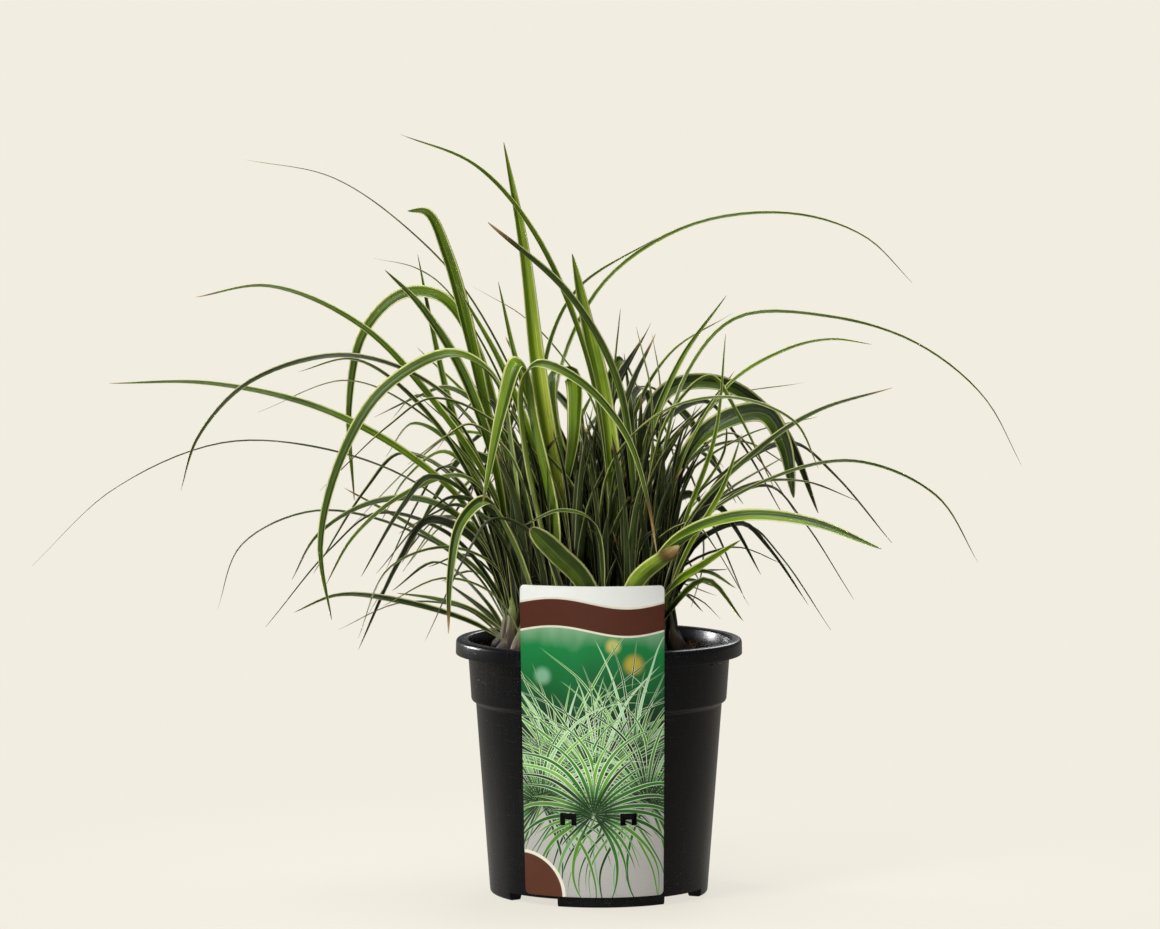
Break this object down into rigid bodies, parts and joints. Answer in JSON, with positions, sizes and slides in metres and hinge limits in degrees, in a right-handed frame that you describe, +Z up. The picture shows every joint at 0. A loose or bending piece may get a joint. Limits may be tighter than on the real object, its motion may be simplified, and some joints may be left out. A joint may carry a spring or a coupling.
{
  "type": "carex sedge in a nursery pot",
  "caption": "Clump of arching, keeled, pale-edged sedge leaves growing in potting soil in a tapered nursery pot, with a wrap-round plant card.",
  "frame": {"origin": "centre of the pot's base, on the surface it stands on", "axes": "+Z up along the pot's axis, -Y towards the plant card at the front, +X along the clump's widest spread"},
  "size_m": [0.594, 0.3485, 0.4521],
  "materials": {
    "pot_plastic": "satin black moulded plastic",
    "potting_soil": "rough dark fibrous potting soil",
    "printed_card": "thin satin plastic card with a plain printed picture of grass",
    "sedge_leaf": "smooth leathery green leaf with thin cream margins"
  },
  "bodies": {
    "root": {"pot": "pot_plastic", "soil": "potting_soil", "label": "printed_card", "shoot_0_00": "sedge_leaf", "shoot_1_00": "sedge_leaf", "shoot_1_01": "sedge_leaf", "shoot_1_02": "sedge_leaf", "shoot_1_03": "sedge_leaf", "shoot_1_04": "sedge_leaf", "shoot_1_05": "sedge_leaf", "shoot_2_00": "sedge_leaf", "shoot_2_01": "sedge_leaf", "shoot_2_02": "sedge_leaf", "shoot_2_03": "sedge_leaf", "shoot_2_04": "sedge_leaf", "shoot_2_05": "sedge_leaf", "shoot_2_06": "sedge_leaf", "shoot_2_07": "sedge_leaf", "shoot_2_08": "sedge_leaf", "shoot_2_09": "sedge_leaf", "shoot_2_10": "sedge_leaf", "shoot_2_11": "sedge_leaf", "shoot_3_00": "sedge_leaf", "shoot_3_01": "sedge_leaf", "shoot_3_02": "sedge_leaf", "shoot_3_03": "sedge_leaf", "shoot_3_04": "sedge_leaf", "shoot_3_05": "sedge_leaf", "shoot_3_06": "sedge_leaf", "shoot_3_07": "sedge_leaf", "shoot_3_08": "sedge_leaf", "shoot_3_09": "sedge_leaf", "shoot_3_10": "sedge_leaf", "shoot_3_11": "sedge_leaf", "shoot_3_12": "sedge_leaf", "shoot_3_13": "sedge_leaf", "shoot_3_14": "sedge_leaf", "shoot_3_15": "sedge_leaf", "shoot_3_16": "sedge_leaf", "shoot_3_17": "sedge_leaf"}
  },
  "joints": []
}
